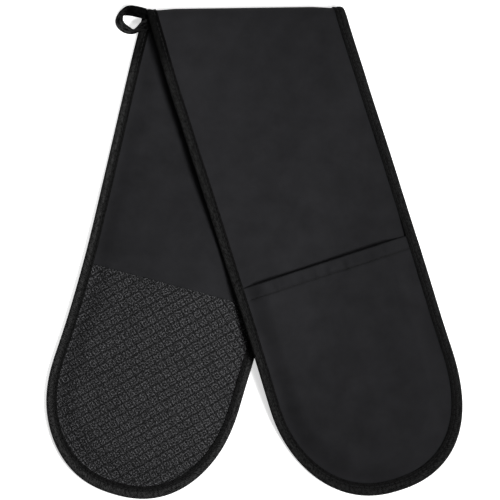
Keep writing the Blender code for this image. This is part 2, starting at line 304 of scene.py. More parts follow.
# %% [markdown]
# ## How high each layer lies
#
# The back mitt lies on its pocket, and its strip climbs over the hollow of that pocket. The front mitt
# leaves the fold on top of it, bridges it, and comes down to the table beyond its right edge. Both are
# thin under the edge tape and thick where the wadding lies. A simulation would let go of the solids'
# places, so the heights are formulas. The front mitt's left edge hangs free over the back mitt, and just
# below the fold it curls up, as its shadow shows in the picture, but only by 3.3 mm: a higher curl would
# dip into the table when the glove is opened.

# %% Heights of the back mitt
back_room, back_room_run, climb_run = 5.2 * MM, 70 * MM, 95 * MM
sample = np.array(320 * MM), np.array(0.0)


def crown(inset):
    """0 under the edge tape, 1 where the wadding has its full thickness."""
    return ease((inset - tape_width) / crown_run)


def hand_space(inset, room, run):
    return gap + room * ease((inset - tape_width) / run)


def back_levels(along, across):
    """(pocket bottom, pocket top, strip bottom, strip top) of the back mitt."""
    inset = back.inset(along, across)
    full = crown(inset)
    low = mix(lip, 0.0, full)
    pocket_top = low + mix(edge_pocket, middle_pocket, full)
    climb = ease((along - back.pocket_start + climb_run) / climb_run)
    strip_low = mix(low, pocket_top + hand_space(inset, back_room, back_room_run), climb)
    return low, pocket_top, strip_low, strip_low + mix(edge_stack, middle_stack, full)


print("back layers 320 mm from the fold:", in_mm(back_levels(*sample)), "mm")

# %% Heights of the front mitt
front_room, front_room_run = 4.4 * MM, 20 * MM
bridge_rise, bridge_run, level_run = 5.0 * MM, 200 * MM, 80 * MM
fall_start, fall_run, left_run = 5 * MM, 60 * MM, 40 * MM
free_edge = ((250, 1.0), (310, 0.0))
curl = ((0, 0.0), (55, 3.3), (60, 3.3), (120, 0.0))


def front_levels(along, across):
    """(strip bottom, strip top, pocket bottom, pocket top) of the front mitt."""
    inset = front.inset(along, across)
    full = crown(inset)
    points = front.plan(along, across)
    from_fold = (points - fold_centre) @ down_fold
    off_fold = ease(from_fold / level_run)
    level = fold_radius + fold_inner + bridge_rise * ease(from_fold / bridge_run)
    back_along, back_across = back.where(points)
    outside = np.where(back_across > 0, -back.inset(back_along, back_across), -half_width)
    fall = ease((outside + fall_start) / fall_run) * off_fold
    left_side = ease(-across / left_run)
    raised = np.maximum(1 - off_fold, left_side * through(from_fold, free_edge))
    edge_lift = (middle_stack - edge_stack - 2 * lip) * raised
    edge_lift = edge_lift + left_side * through(from_fold, curl) * MM
    low = level * (1 - fall) + (lip + edge_lift) * (1 - full)
    top = low + mix(edge_stack, middle_stack, full)
    pocket_low = top + hand_space(inset, front_room, front_room_run)
    return low, top, pocket_low, pocket_low + mix(edge_pocket, middle_pocket, full)


levels_of = {"back": back_levels, "front": front_levels}
print("front layers 320 mm from the fold:", in_mm(front_levels(*sample)), "mm")


# %% Unevenness
def uneven(along, across, seed):
    """Slow hills and hollows of worn cloth, from -1 to 1."""
    found = np.empty(along.shape)
    for place, (u, v) in enumerate(zip(along.flat, across.flat)):
        broad = noise.noise(Vector((u / 0.045, v / 0.035, seed)))
        fine = noise.noise(Vector((u / 0.016, v / 0.014, seed + 7.0)))
        found.flat[place] = 0.75 * broad + 0.25 * fine
    return found


def ruffle(run, seed, size):
    """A slow unevenness along a tape or an edge, from -1 to 1."""
    heights = [noise.noise(Vector((float(u) / size, seed, 0.5))) for u in run.flat]
    return np.array(heights).reshape(run.shape)


print("ruffle every 5 mm:", ruffle(np.arange(0, 30, 5) * MM, 2.0, 9 * MM).round(2))

# %% [markdown]
# ## A closed piece of cloth from a grid
#
# A quilted strip could be a plane with Solidify, but its faces aren't parallel: the upper one swells
# over the wadding. So each piece is built from two grids of points, joined round their rim. Its UV map
# holds the cloth's own measures in metres, so that a weave lies along the strip on every piece, and
# runs on over the fold without a step.

# %% Rows and columns
def both_sides(*insets):
    """Columns as (side, inset), from the left edge to the right one, for insets in mm from the left."""
    sides = np.concatenate([-np.ones(len(insets)), np.ones(len(insets) - 1)])
    return sides, np.array(insets + insets[-2::-1]) * MM


near_edge = (1, 3, 6, 9, 10, 11, 12.5, 14.5, 17, 20, 24)
pad_columns = both_sides(*near_edge, *np.linspace(28, 86, 13))
pad_end_rows = 44
print("columns of a pad:", len(pad_columns[0]))


def straight_rows(first, last, step):
    return np.linspace(first, last, max(1, round((last - first) / step)) + 1)


def grid(mitt, places, columns, end_rows=pad_end_rows):
    """(along, across) for rows at these places, then round the end, and for these columns."""
    sides, insets = columns
    turned = math.pi / 2 * np.arange(1, end_rows + 1)[:, None] / end_rows
    angle = np.concatenate([np.zeros((len(places), 1)), turned])
    place = np.concatenate([places, np.full(end_rows, mitt.end_start)])[:, None]
    share = 1 - insets / half_width
    narrow = np.where(angle > math.pi / 2 - 1e-6, 0.0, np.cos(angle))
    across = sides * share * half_width * narrow ** (2 / end_roundness)
    along = place + share * end_length * np.sin(angle) ** (2 / end_roundness)
    return along + mitt.skew * across * np.maximum(0.0, 1 - place / mitt.pocket_start), across


def cloth_measures(mitt, along, across):
    """UV places: across the strip, and along it from the front mitt's start, on over the fold."""
    return np.stack([across, along if mitt is front else -math.pi * fold_radius - along], -1)


# %% Closed pieces
def sewn(name, points, faces, flat, sharp):
    """A piece from points, faces and UV places. Its doubles are merged and its faces turned outwards."""
    data = bpy.data.meshes.new(name)
    data.from_pydata(points.tolist(), [], faces)
    corners = [loop.vertex_index for loop in data.loops]
    data.uv_layers.new(name="cloth").data.foreach_set("uv", flat[corners].astype(np.float32).ravel())
    mesh = bmesh.new()
    mesh.from_mesh(data)
    bmesh.ops.remove_doubles(mesh, verts=mesh.verts, dist=0.01 * MM)
    bmesh.ops.dissolve_degenerate(mesh, edges=mesh.edges, dist=0.002 * MM)
    bmesh.ops.recalc_face_normals(mesh, faces=mesh.faces)
    if mesh.calc_volume(signed=True) < 0:
        bmesh.ops.reverse_faces(mesh, faces=mesh.faces)
    open_edges = sum(not edge.is_manifold for edge in mesh.edges)
    mesh.to_mesh(data)
    mesh.free()
    data.shade_smooth()
    data.set_sharp_from_angle(angle=math.radians(sharp))
    piece = bpy.data.objects.new(name, data)
    scene.collection.objects.link(piece)
    print(name, len(data.polygons), "faces,", open_edges, "open edges")
    return piece


def closed_piece(name, upper, lower, uv, zipped=False, sharp=60):
    """A piece between two grids of points. A zipped one has its last row folded shut on itself."""
    rows, columns = upper.shape[:2]
    count = rows * columns
    number = np.arange(count).reshape(rows, columns)
    quads = np.stack([number[:-1, :-1], number[:-1, 1:], number[1:, 1:], number[1:, :-1]], -1).reshape(-1, 4)
    rim = [number[0], number[:, 0], number[:, -1]] + ([] if zipped else [number[-1]])
    walls = [np.stack([line[:-1], line[1:], line[1:] + count, line[:-1] + count], -1) for line in rim]
    faces = np.concatenate([quads, quads[:, ::-1] + count, *walls])
    points = np.concatenate([upper.reshape(-1, 3), lower.reshape(-1, 3)])
    return sewn(name, points, faces.tolist(), np.tile(uv.reshape(-1, 2), (2, 1)), sharp)


def lifted(mitt, along, across, height):
    """Points above the table, with a height each."""
    return np.concatenate([mitt.plan(along, across), height[..., None]], -1)


def mitt_layer(mitt, kind, along, across, heights, uv, sharp=60):
    """A closed layer of a mitt between an upper and a lower height. It rides on the mitt."""
    faces = (lifted(mitt, along, across, height) for height in heights)
    piece = closed_piece(f"{mitt.name}_{kind}", *faces, uv, zipped=True, sharp=sharp)
    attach(piece, mitt.name + "_mitt")
    return piece


def stands_for(piece, part, endings, material):
    """Gives a piece its finish, and the solids that it replaces: the part's name with each ending."""
    piece.data.materials.append(material)
    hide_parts(*(part + ending for ending in endings))


# %% [markdown]
# ## Finishes
#
# The glove is black on black, so its finishes differ in small things: the strip is a smooth twill with a
# slightly uneven dye and a broad painted light, the edge tape is ribbed and carries painted shade, and
# the grip panel has a raised rubber print. Each could be made whole in its own material, but they share
# effects. So an effect is a node group, made once, that gives out a mask or a height and reads the
# cloth's measures from the UV map, in metres.

# %% Helpers for finishes
def shared_effect(name, outputs, **numbers):
    """A new node group. Returns it, the values that it is given, and its output node."""
    group = bpy.data.node_groups.new(name, "ShaderNodeTree")
    group.interface.new_socket("Cloth", in_out="INPUT", socket_type="NodeSocketVector")
    for label, number in numbers.items():
        socket = group.interface.new_socket(label, in_out="INPUT", socket_type="NodeSocketFloat")
        socket.default_value = number
    for label in outputs:
        group.interface.new_socket(label, in_out="OUTPUT", socket_type="NodeSocketFloat")
    enter = group.nodes.new("NodeGroupInput")
    given = [Value(group, enter.outputs[label]) for label in ("Cloth", *numbers)]
    print("new effect:", name)
    return group, given, group.nodes.new("NodeGroupOutput")


def placed(group, cloth, **numbers):
    """A shared effect in a material: the values that it gives out."""
    return new_node(cloth.tree, "Group", {"Cloth": cloth, **numbers}, node_tree=group)


def parts_of(cloth):
    """The two measures of the cloth."""
    return new_node(cloth.tree, "SeparateXYZ", {0: cloth})[:2]


def moved(cloth, operation, amounts):
    return new_node(cloth.tree, "VectorMath", {0: cloth, 1: amounts}, operation=operation)[0]


def cloth_noise(cloth, size, detail, roughness=0.5):
    """Noise whose spots are about this size, in metres."""
    inputs = {"Vector": cloth, "Scale": 1 / size, "Detail": detail, "Roughness": roughness}
    return new_node(cloth.tree, "TexNoise", inputs)[0]


def smooth_step(value, first, last, start=0.0):
    """From a start at the first value up to 1 at the last one."""
    inputs = {"Value": value, "From Min": first, "From Max": last, "To Min": start}
    return new_node(value.tree, "MapRange", inputs, interpolation_type="SMOOTHSTEP")[0]


def wave(turns):
    """From 0 to 1 and back, once in each turn."""
    return (turns * (2 * math.pi)).math("SINE") * 0.5 + 0.5


# %% Twill weave, uneven dye and painted light
twill, (cloth,), leave = shared_effect("twill_weave", ["Height"])
u, v = parts_of(cloth)
rib = wave((u + v) * (1 / (0.9 * MM)))
yarn = wave((u - v) * (1 / (0.45 * MM)))
feed(leave, {"Height": cloth_noise(cloth, 1.3 * MM, 2.0) * 0.5 + yarn * 0.35 + rib * 0.5})

dye_and_painted_light, (cloth,), leave = shared_effect("uneven_dye_and_painted_light", ["Tone"])
cloud = (cloth_noise(cloth, 22 * MM, 4.0, 0.6) - 0.5) * 2.0 + 0.5
speck = cloth_noise(cloth, 5 * MM, 2.0)
# painted light: this broad drift is placed so that the front mitt comes out lighter on its left, as if lit
# from that side
drift = cloth_noise(moved(cloth, "ADD", (0.4, 1.1, 0.9)), 260 * MM, 0.0) - 0.5
feed(leave, {"Tone": drift * 1.6 + speck * 0.25 + cloud * 0.75})


# %% Helpers for materials
def new_material(name, roughness, specular, sheen=0.0):
    """A cloth material. Returns it, its Principled BSDF and the cloth's measures."""
    material = bpy.data.materials.new(name)
    material.use_nodes = True
    tree = material.node_tree
    shader = tree.nodes["Principled BSDF"]
    sheens = {"Sheen Weight": sheen, "Sheen Roughness": 0.6}
    feed(shader, {"Roughness": roughness, "Specular IOR Level": specular, **sheens})
    print("new material:", name)
    return material, shader, new_node(tree, "UVMap", {}, uv_map="cloth")[0]


def blended(share, dark, light):
    """The colour between two others."""
    return new_node(share.tree, "Mix", {0: share, 6: dark, 7: light}, data_type="RGBA")[2]


def grey(level, blue=1.0):
    """A near-black, with a touch of blue where blue is above 1."""
    return (level, level, level * blue, 1.0)


def bumped(shader, height, distance):
    inputs = {"Height": height, "Distance": distance, "Strength": 1.0}
    feed(shader, {"Normal": new_node(height.tree, "Bump", inputs)[0]})


# %% [markdown]
# ### Strip cloth
#
# The strip is a tightly woven cotton twill. Its tone only drifts a little, like a cloud, so the dye runs
# between two greys that are close together, and the weave is left to a shallow bump. A broad drift in
# the tone is painted light, placed so that the front mitt comes out lighter on its left.

# %% Strip cloth
strip_cloth, shader, cloth = new_material("strip_cloth", 0.85, 0.08, 0.02)
(tone,), (weave,) = placed(dye_and_painted_light, cloth), placed(twill, cloth)
feed(shader, {"Base Color": blended(tone, grey(0.0105, 1.1), grey(0.0185, 1.1))})
bumped(shader, weave, 0.06 * MM)

# %% [markdown]
# ## The padded strip
#
# Each mitt is two layers of twill with felt between them, held only at the edge. A cloth simulation
# would blow it up like a cushion, so its surface is worked out: thin under the edge tape, swelling over
# the next 18 mm, and a little uneven beyond. On the grip side it steps down where the panel is laid.

# %% Strip pads
wander, free_run, panel_step = 0.45 * MM, 30 * MM, 0.9 * MM


def swell(mitt, along, across, seed):
    """How far loose cloth strays from its level."""
    return wander * crown(mitt.inset(along, across)) * ease(along / free_run) * uneven(along, across, seed)


def strip_pad(mitt, low, high, seed):
    """The strip of one mitt, between two of its levels. Its grip side is up on the back mitt."""
    near_panel = mitt.grip_start + np.array((-4, -2, -1, -0.5, 0, 0.5, 1, 2)) * MM
    before = straight_rows(0, near_panel[0] - 2 * MM, 3 * MM)
    beyond = straight_rows(near_panel[-1] + 2 * MM, mitt.end_start, 3.5 * MM)
    along, across = grid(mitt, np.concatenate([before, near_panel, beyond]), pad_columns)
    at = levels_of[mitt.name](along, across)
    bottom = np.maximum(at[low] + 0.4 * swell(mitt, along, across, seed + 3), 0.0)
    top = at[high] + swell(mitt, along, across, seed)
    dip = panel_step * ease((along - mitt.grip_start + 0.6 * MM) / (1.2 * MM))
    heights = (top - dip, bottom) if mitt is back else (top, bottom + dip)
    uv = cloth_measures(mitt, along, across)
    piece = mitt_layer(mitt, "strip_pad", along, across, heights, uv, sharp=40)
    endings = ("_grip_side_fabric", "_wadding", "_pocket_side_fabric")
    stands_for(piece, mitt.name, endings, strip_cloth)


strip_pad(back, 2, 3, 1.0)
strip_pad(front, 0, 1, 11.0)

# %% [markdown]
# ## The hand pockets
#
# A pocket is a second, thinner pad over the last 216.5 mm of each mitt. Its mouth is a hem: the cloth is
# turned over and stitched down 11.5 mm from the edge. So the pad's edge is rolled, a groove follows the
# seam, and small puckers stand between the two. A bump would leave the mouth's outline straight, so all
# of this is in the mesh, with rows that crowd together at the roll and the groove.

# %% Pockets
hem_width, roll = 11.5 * MM, 1.6 * MM
groove_depth, groove_width = 1.4 * MM, 0.9 * MM
pucker_height, pucker_middle, pucker_reach = 4.0 * MM, 8 * MM, 5 * MM
pocket_columns = both_sides(*near_edge, *np.linspace(27, 86, 31))
roll_rows = (0, 0.15, 0.4, 0.8, 1.2, 1.6, 2.4, 4, 6, 8)
groove_rows = (9.3, 10.2, 10.8, 11.2, 11.5, 11.8, 12.2, 12.8, 13.8, 15.5)
hem_rows = np.array(roll_rows + groove_rows) * MM


def bell(distance, reach):
    """1 in the middle, fading out on both sides."""
    return np.exp(-((distance / reach) ** 2))


def pocket_faces(mitt, along, across):
    """The heights of a pocket's two faces. Its outer face is up on the front mitt and down on the back."""
    pair = slice(2, 4) if mitt is front else slice(0, 2)
    bottom, top = levels_of[mitt.name](along, across)[pair]
    inset = mitt.inset(along, across)
    from_mouth = along - mitt.pocket_start
    share = 1 - np.clip(from_mouth / roll, 0, 1)
    closing = (top - bottom) / 2 * (1 - np.sqrt(1 - share**2))
    groove = groove_depth * bell(from_mouth - hem_width, groove_width) * ease((inset - 9 * MM) / (3 * MM))
    top, bottom = top - closing, bottom + closing
    if mitt is back:
        return bottom + groove, top
    stray = wander * uneven(along, across, 31.0) * ease(from_mouth / (25 * MM))
    gathered = pucker_height * bell(from_mouth - pucker_middle, pucker_reach)
    pucker = gathered * uneven(along * 0.5, across * 6, 36.0)
    return bottom, top - groove + (stray + pucker) * crown(inset)


def pocket_pad(mitt):
    beyond = straight_rows(18 * MM, mitt.end_start - mitt.pocket_start, 3.5 * MM)
    places = mitt.pocket_start + np.concatenate([hem_rows, beyond])
    along, across = grid(mitt, places, pocket_columns)
    heights = pocket_faces(mitt, along, across)[::-1]
    piece = mitt_layer(mitt, "pocket_pad", along, across, heights, cloth_measures(mitt, along, across))
    endings = ("_pocket_lining", "_pocket_wadding", "_pocket_fabric")
    stands_for(piece, mitt.name, endings, strip_cloth)


pocket_pad(back)
pocket_pad(front)

# %% [markdown]
# ## The edge tape
#
# A ribbed bias tape, 20 mm wide, is folded round the raw edge and sewn through. It stands up to 1 mm
# proud in a soft roll, its seam pulls it down in a groove, and its inner edge ends in a small lip. A
# curve with a bevel has one round section, so the real one is drawn and carried round the mitt. The
# tape is flecked and lightest on the roll. Its seam is painted dark, as painted shade in the groove, and
# the first stretch from the fold's left end is painted darker still, as painted shadow. Its roll is
# painted lighter on the back mitt and darker on the front one, as painted light.

# %% Edge tape finish
# painted shade: between these insets the tape is painted darker towards its seam, where its groove lies in
# shade
seam_shade_from, seam_shade_to = 5.2 * MM, 7.2 * MM
# painted shadow: near the fold's left end the tape is painted near black, fading out between these runs
fold_shade_until, fold_shade_gone_at = 28 * MM, 52 * MM
ribs, (cloth, pitch), leave = shared_effect("diagonal_ribs", ["Height"], Pitch=1.5 * MM)
u, v = parts_of(cloth)
wobble = cloth_noise(cloth, 4 * MM, 2.0) * (1.2 * MM)
feed(leave, {"Height": wave((u + v + wobble) / pitch)})


def flecks(cloth, rib, size, gain, rib_share, base):
    """The ribs, broken up by flecks."""
    return (cloth_noise(cloth, size, 2.0, 0.7) - 0.5) * gain + rib * rib_share + base


def tape_cloth(name, painted_light_factor):
    """The ribbed cloth of an edge tape. Its roll's grey is scaled by a factor of painted light."""
    material, shader, cloth = new_material(name, 0.9, 0.03)
    (rib,) = placed(ribs, cloth, Pitch=2.0 * MM)
    flecked = flecks(cloth, rib, 2.2 * MM, 3.8, 0.6, 0.2)
    run, across = parts_of(cloth)
    on_roll = blended(flecked, grey(0.0035 * painted_light_factor), grey(0.0240 * painted_light_factor))
    # painted shade in the seam's groove
    seam_painted_shade = blended(flecked, grey(0.0025), grey(0.0100))
    tone = blended(smooth_step(across.math("ABSOLUTE"), seam_shade_from, seam_shade_to), on_roll, seam_painted_shade)
    # painted shadow of the fold and the loop, over the first stretch of the tape's run
    out_of_fold_shade = smooth_step(run, fold_shade_until, fold_shade_gone_at, 0.3)
    feed(shader, {"Base Color": blended(out_of_fold_shade, grey(0.0012), tone)})
    bumped(shader, rib, 0.16 * MM)
    return material


# painted light: a lighter copy of the tape on the back mitt, as if lit from the left, and a darker, shaded
# copy on the front
tape_cloth_of = {"back": tape_cloth("back_tape_cloth", 1.4), "front": tape_cloth("front_tape_cloth", 0.86)}

# %% The tape's section
# Insets from the rim, and how far the tape stands off the cloth there, underneath and on top, in mm.
section_insets = (9.2, 9.15, 8.9, 8.3, 7.3, 6.4, 5.7, 5.0, 3.8)
under_stands = (-0.05, -0.35, -0.60, -0.58, -0.36, -0.12, -0.36, -0.58, -0.64)
top_stands = (0.05, 0.40, 0.62, 0.60, 0.36, 0.12, 0.42, 0.80, 1.00)
roll_angles = np.radians((-90, -66, -44, -22, 0, 22, 44, 66, 90))
roll_inset, top_stand, under_stand, sewn_thickness = 2.6, 0.95, 0.62, 4


def section(start, proud):
    """(inset, share of the height, stand) along one face of the tape, from its underside to its top."""
    under, top = (
        [(inset, share, proud * stand) for inset, stand in zip(section_insets, stands)]
        for share, stands in ((0.0, under_stands), (1.0, top_stands))
    )
    for angle in roll_angles:
        stand = proud * (top_stand if angle > 0 else under_stand)
        inset = start + (roll_inset - start) * (1 - math.cos(angle))
        under.append((inset, 0.5 + 0.5 * math.sin(angle), stand * math.sin(angle)))
    return np.array(under + top[::-1])


outer_section, inner_section = section(0.0, 1.0), section(0.7, 0.0)
measure = outer_section[:, 0] * np.where(outer_section[:, 1] < 0.5, -1, 1)
steps = np.hypot(np.diff(measure), np.diff(outer_section[:, 1] * sewn_thickness))
section_places = np.cumsum(np.concatenate([[0], steps])) * MM
section_places -= section_places[len(section_places) // 2]
print("places in the section:", len(outer_section), "tape width:", in_mm(np.ptp(section_places)), "mm")

# %% Edge tapes of the mitts
mouth_run, rim_column, tape_end_rows = 24 * MM, 14, 60
tape_wave, tape_free_run = 0.13 * MM, 25 * MM


def bound_heights(mitt, along, across):
    """The heights between which the tape is folded."""
    if mitt is front:
        low, strip_top, _, pocket_top = front_levels(along, across)
        thick = ease((along - front.pocket_start + mouth_run) / mouth_run)
        return low - gap, mix(strip_top, pocket_top, thick) + gap
    low, _, _, top = back_levels(along, across)
    return low - gap, top + gap


def round_the_edge(mitt, step, end_rows, insets):
    """(along, across) for rows that go down the left side, round the tip and up the right one."""
    places = straight_rows(0, mitt.end_start, step)
    left, right = (grid(mitt, places, (side, insets), end_rows) for side in (-1, 1))
    return [np.concatenate([a, b[-2::-1]]) for a, b in zip(left, right)]


def run_of(points):
    """The length from the start to each point of a line."""
    steps = np.linalg.norm(np.diff(points, axis=0), axis=-1)
    return np.concatenate([[0], np.cumsum(steps)])


def tape_piece(name, part, faces, run, shift, material):
    """A tape between its outer and inner face, with its flat size. Its UV map runs along it."""
    uv = np.stack(np.broadcast_arrays(run[:, None] + shift, section_places), -1)
    piece = closed_piece(name, *faces, uv)
    stands_for(piece, part, ("_binding",), material)
    return piece


def edge_tape(mitt, seed):
    faces = []
    for part in (outer_section, inner_section):
        along, across = round_the_edge(mitt, 2.6 * MM, tape_end_rows, part[:, 0] * MM)
        low, high = bound_heights(mitt, along, across)
        run = run_of(mitt.plan(along[:, rim_column], across[:, rim_column]))
        loose = ease(np.minimum(run, run[-1] - run) / tape_free_run)[:, None]
        waves = tape_wave * ruffle(run, seed, 9 * MM)[:, None] * loose * part[:, 1]
        faces.append(lifted(mitt, along, across, mix(low, high, part[:, 1]) + part[:, 2] * MM + waves))
    piece = tape_piece(mitt.name + "_edge_tape", mitt.name, faces, run, 0, tape_cloth_of[mitt.name])
    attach(piece, mitt.name + "_mitt")


edge_tape(back, 2.0)
edge_tape(front, 5.0)

# %% [markdown]
# ## Stitches
#
# A machine seam is a row of short dashes that sink into their groove. The thread could be a curve that
# dives in and out, but only the dashes show. So one dash is modelled by hand: a cylinder of six sides,
# whose ends are extruded, shrunk and lowered, and whose middle is cut and raised. It is copied along a
# line on the cloth, each copy turned to the line. The ribs of the tape, finer, are the thread's twist.

# %% Thread finish
seam_thread, shader, cloth = new_material("seam_thread", 0.7, 0.2)
(ply,) = placed(ribs, cloth, Pitch=0.4 * MM)
feed(shader, {"Base Color": blended(ply, grey(0.0025, 1.05), grey(0.007, 1.05))})
bumped(shader, ply, 0.04 * MM)

# %% One dash of thread
stitch_length, stitch_pitch = 3.6 * MM, 4.6 * MM
stitch_width, stitch_height = 0.9 * MM, 0.32 * MM
dash_sides, dash_shoulder, dash_tip, dash_dip, dash_rise = 6, 0.12, 0.35, 0.32, 0.1
lying = {"location": (0.5, 0, 0), "rotation": (0, math.pi / 2, 0)}
bpy.ops.object.select_all(action="DESELECT")
bpy.ops.mesh.primitive_cylinder_add(vertices=dash_sides, radius=0.5, depth=1 - 2 * dash_shoulder, **lying)
bpy.ops.object.transform_apply(location=True, rotation=True, scale=True)
dash = bpy.context.active_object
bpy.ops.object.mode_set(mode="EDIT")
bpy.ops.mesh.select_mode(type="FACE")
for cap, tip in ((dash_shoulder, 0.0), (1 - dash_shoulder, 1.0)):
    mesh = bmesh.from_edit_mesh(dash.data)
    for face in mesh.faces:
        face.select_set(abs(face.calc_center_median().x - cap) < 0.01)
    mesh.select_flush_mode()
    bmesh.update_edit_mesh(dash.data)
    bpy.ops.mesh.extrude_region_move(TRANSFORM_OT_translate={"value": (tip - cap, 0, -dash_dip)})
    bpy.ops.transform.resize(value=(1, dash_tip, dash_tip), center_override=(tip, 0, -dash_dip))
bpy.ops.mesh.select_all(action="SELECT")
bpy.ops.mesh.bisect(plane_co=(0.5, 0, 0), plane_no=(1, 0, 0))
bpy.ops.transform.translate(value=(0, 0, dash_rise))
bpy.ops.object.mode_set(mode="OBJECT")
dash_points = np.array([vertex.co for vertex in dash.data.vertices])
dash_faces = [tuple(face.vertices) for face in dash.data.polygons]
bpy.data.objects.remove(dash)
print("one dash:", len(dash_points), "points,", len(dash_faces), "faces")


# %% Stitch maker
def on_line(places, run, line):
    """The points of a line at these lengths along it."""
    return np.stack([np.interp(places, run, axis) for axis in line.T], -1)


def unit(vectors):
    return vectors / np.linalg.norm(vectors, axis=-1, keepdims=True)


def stitches(name, *lines):
    """Copies of the dash along lines of (points, directions away from the cloth)."""
    points, flat = [], []
    for line, away in lines:
        run = run_of(line)
        starts = np.arange(stitch_pitch / 2, run[-1] - stitch_length, stitch_pitch)
        at = starts[:, None] + stitch_length * dash_points[None, :, 0]
        spots, up = on_line(at, run, line), on_line(at, run, away)
        side = unit(np.cross(on_line(at + 0.3 * MM, run, line) - spots, up))
        out, rise = stitch_width * dash_points[:, 1], stitch_height * dash_points[:, 2]
        points.append((spots + out[:, None] * side + rise[:, None] * unit(up)).reshape(-1, 3))
        flat.append(np.stack(np.broadcast_arrays(at, out), -1).reshape(-1, 2))
    points, flat = np.concatenate(points), np.concatenate(flat)
    firsts = range(0, len(points), len(dash_points))
    faces = [tuple(first + corner for corner in face) for first in firsts for face in dash_faces]
    piece = sewn(name, points, faces, flat, sharp=180)
    piece.data.materials.append(seam_thread)
    print(name, "has", len(firsts), "stitches")
    return piece


# %% Edge seams and hem seams
seam_inset, hem_seam_inset = 6.4 * MM, 10.5 * MM
edge_seam_lift, hem_seam_lift = 0.2 * MM, 0.05 * MM


def seam_line(mitt, places, heights, upper, lift):
    """A line of stitches just off the upper or the lower of two faces."""
    low, high = heights(mitt, *places)
    line = lifted(mitt, *places, high + lift if upper else low - lift).reshape(-1, 3)
    return line, np.broadcast_to((0.0, 0.0, 1.0 if upper else -1.0), line.shape)


for mitt, pocket_up in ((back, False), (front, True)):
    edge = round_the_edge(mitt, 2 * MM, 120, np.array((seam_inset,)))
    across = np.linspace(-1, 1, 160) * (half_width - hem_seam_inset)
    hem = np.full_like(across, mitt.pocket_start + hem_width), across
    edge_lines = [seam_line(mitt, edge, bound_heights, upper, edge_seam_lift) for upper in (True, False)]
    hem_line = seam_line(mitt, hem, pocket_faces, pocket_up, hem_seam_lift)
    for kind, part, lines in (("edge", "binding", edge_lines), ("hem", "hem", [hem_line])):
        seam = stitches(f"{mitt.name}_{kind}_seam", *lines)
        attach(seam, mitt.name + "_mitt")
        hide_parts(f"{mitt.name}_{part}_thread")

# %% [markdown]
# ## The grip print
#
# The grip cloth has a raised rubber print: rows of nested squares on a slanted grid, 8.1 mm from row to
# row and 7.4 mm from column to column. Modelled squares would need a million faces, so the print is a
# mask: how far a place lies from the middle of its square, along the squares' own sides, tells ring
# from recess. The same mask gives the colour, the gloss and the relief. In the group a square is 8 mm
# wide both ways, and the UV map of the panel in sight stretches it to the real pitches.

# %% Nested squares
print_cell, print_wander = 8 * MM, 0.5 * MM
squares, (cloth, cell, roam), leave = shared_effect(
    "nested_squares", ["Ridge", "Row", "Square"], Cell=print_cell, Wander=print_wander
)


def stretched(value, seed, size, amount):
    """A place along the cloth, moved a little to and fro, as a print on cloth is."""
    drift = cloth_noise(moved(cloth, "ADD", (seed, seed, 0)), size, 2.0) - 0.5
    return value + drift * (roam * amount)


def from_middle(cells):
    """0 in the middle of a cell and 1 at its sides."""
    return (cells.math("FRACT") * 2.0 - 1.0).math("ABSOLUTE")


def bulge(value, middle, reach):
    """1 at the middle, falling to 0 at its reach on either side."""
    away = (value - middle) / reach
    return (away * away * -1.0 + 1.0).math("MAXIMUM", 0.0)


u, v = parts_of(cloth)
cells_u = stretched(stretched(u, 0.31, 30 * MM, 12.0), 0.57, 4 * MM, 4.0) / cell
cells_v = stretched(v, 0.77, 4 * MM, 4.0) / cell
off_u, off_v = from_middle(cells_u), from_middle(cells_v)
ring_place = off_u.math("MAXIMUM", off_v)
ridges = bulge(ring_place, 0.62, 0.22).math("MAXIMUM", bulge(ring_place, 0.0, 0.26))
row_gap = off_v.math("POWER", 3.5).math("MAXIMUM", off_u.math("POWER", 6.0) * 0.85)
cell_number = new_node(squares, "CombineXYZ", {0: cells_u.math("FLOOR"), 1: cells_v.math("FLOOR")})[0]
by_chance = new_node(squares, "TexWhiteNoise", {"Vector": cell_number})[0]
feed(leave, {"Ridge": ridges, "Row": row_gap, "Square": by_chance})

# %% Grip print
grip_print, shader, cloth = new_material("grip_print", 0.6, 0.10)
ridge, row, square = placed(squares, cloth, Cell=print_cell, Wander=print_wander)
(patchy,) = placed(dye_and_painted_light, cloth)
fibre = cloth_noise(cloth, 1.35 * MM, 2.0, 0.75) - 0.5
speckled = fibre * 5.0 + patchy * 0.06 + ridge * 0.32 + square * 0.08 - 0.12
printed = blended(speckled, grey(0.0050, 1.05), grey(0.105, 1.05))
print_color = blended(row * 0.62, printed, grey(0.005, 1.05))
feed(shader, {"Base Color": print_color, "Roughness": ridge * -0.3 + 0.85})
bumped(shader, ridge, 0.2 * MM)

# %% [markdown]
# ## The grip panels
#
# The last 196 mm of each mitt's grip side is the printed cloth, laid on the strip and caught by the edge
# tape. Solidify could give it a thickness, but it follows the strip's own heights, so it is a closed
# layer like the pads. Its free top edge is turned in and stands off the strip a little, unevenly.

# %% Grip panels
row_lean, column_lean = math.radians(29.6), math.radians(122.0)
row_pitch, column_pitch = 8.08 * MM, 7.36 * MM
print_shift = (0.47, 0.30)
top_rows = np.array((0, 0.15, 0.5, 1, 2, 3.5, 5.5, 8, 11)) * MM
top_lift, top_turn, top_stray = 0.35 * MM, 0.25 * MM, 0.7 * MM


def print_measures(mitt, along, across):
    """UV places along the rows of the print. The back panel's were measured on the table."""
    if mitt is back:
        x, y = np.moveaxis(mitt.plan(along, across), -1, 0)
        u = (y * math.cos(column_lean) - x * math.sin(column_lean)) / column_pitch
        v = (y * math.cos(row_lean) - x * math.sin(row_lean)) / row_pitch
        return np.stack([u + print_shift[0], v + print_shift[1]], -1) * print_cell
    return np.stack([along + across, along - across], -1) * math.sqrt(0.5)


